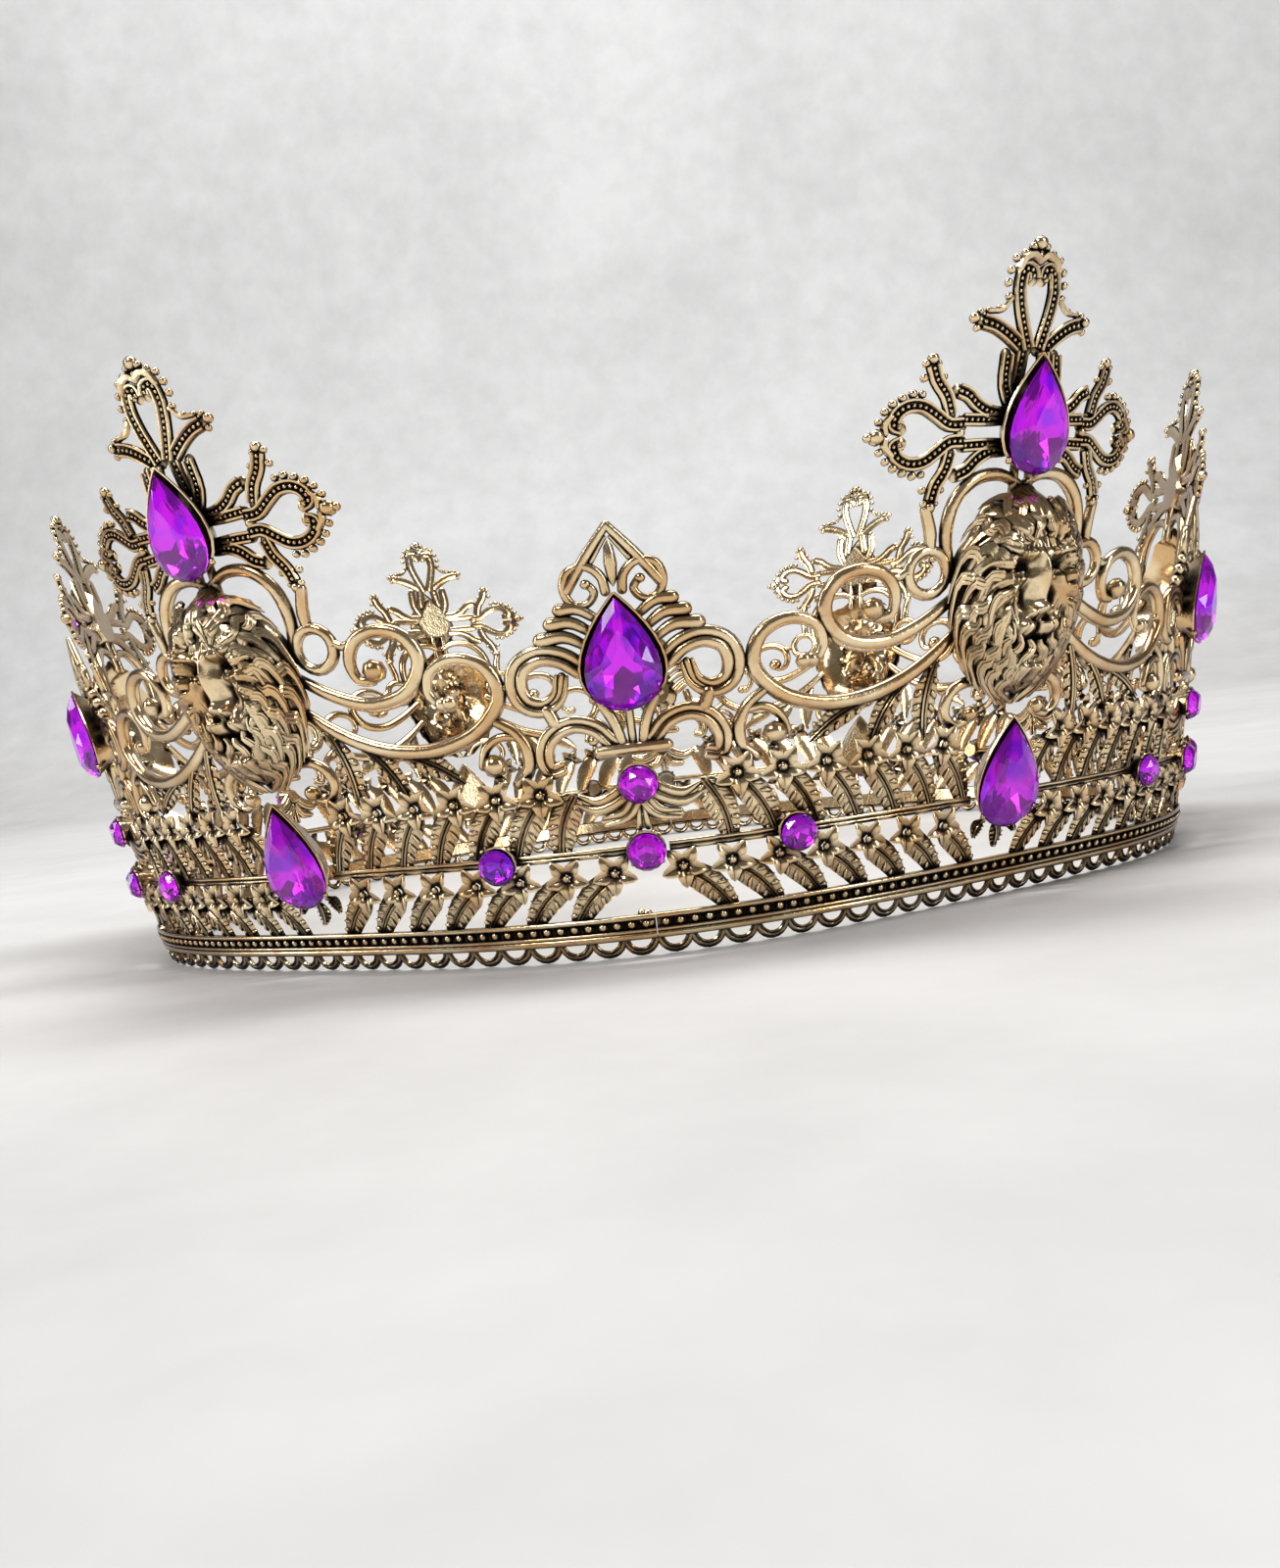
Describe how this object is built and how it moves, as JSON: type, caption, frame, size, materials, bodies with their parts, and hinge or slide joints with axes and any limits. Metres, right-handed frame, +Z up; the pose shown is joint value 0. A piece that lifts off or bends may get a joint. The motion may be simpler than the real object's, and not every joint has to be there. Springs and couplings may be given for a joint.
{
  "type": "crystal crown",
  "caption": "Openwork crown of cast metal panels with lion heads, crosses and fleurs-de-lis, set with cut pear and round crystals",
  "frame": {"origin": "centre of the bounding box at the plane the scalloped edge rests on", "axes": "+Z up through the head opening, -Y towards the front fleur-de-lis, +X to the wearer's left"},
  "size_m": [0.2146, 0.2124, 0.0808],
  "materials": {
    "antique_gold": "antique gold plate, worn bright on high spots, dark in recesses",
    "violet_glass": "polished foil-backed cut glass"
  },
  "bodies": {
    "root": {"panel_1": "antique_gold", "panel_2": "antique_gold", "panel_3": "antique_gold", "panel_4": "antique_gold", "panel_5": "antique_gold", "panel_6": "antique_gold", "cross_stone_1": "violet_glass", "cross_stone_2": "violet_glass", "cross_stone_3": "violet_glass", "cross_stone_4": "violet_glass", "cross_stone_5": "violet_glass", "cross_stone_6": "violet_glass", "chin_stone_1": "violet_glass", "chin_stone_2": "violet_glass", "chin_stone_3": "violet_glass", "chin_stone_4": "violet_glass", "chin_stone_5": "violet_glass", "chin_stone_6": "violet_glass", "fleur_stone_1": "violet_glass", "fleur_stone_2": "violet_glass", "fleur_stone_3": "violet_glass", "fleur_stone_4": "violet_glass", "fleur_stone_5": "violet_glass", "fleur_stone_6": "violet_glass", "fleur_round_1": "violet_glass", "fleur_round_2": "violet_glass", "fleur_round_3": "violet_glass", "fleur_round_4": "violet_glass", "fleur_round_5": "violet_glass", "fleur_round_6": "violet_glass", "seam_round_1": "violet_glass", "seam_round_2": "violet_glass", "seam_round_3": "violet_glass", "seam_round_4": "violet_glass", "seam_round_5": "violet_glass", "seam_round_6": "violet_glass", "rail_round_left_1": "violet_glass", "rail_round_left_2": "violet_glass", "rail_round_left_3": "violet_glass", "rail_round_left_4": "violet_glass", "rail_round_left_5": "violet_glass", "rail_round_left_6": "violet_glass", "rail_round_right_1": "violet_glass", "rail_round_right_2": "violet_glass", "rail_round_right_3": "violet_glass", "rail_round_right_4": "violet_glass", "rail_round_right_5": "violet_glass", "rail_round_right_6": "violet_glass"}
  },
  "joints": []
}
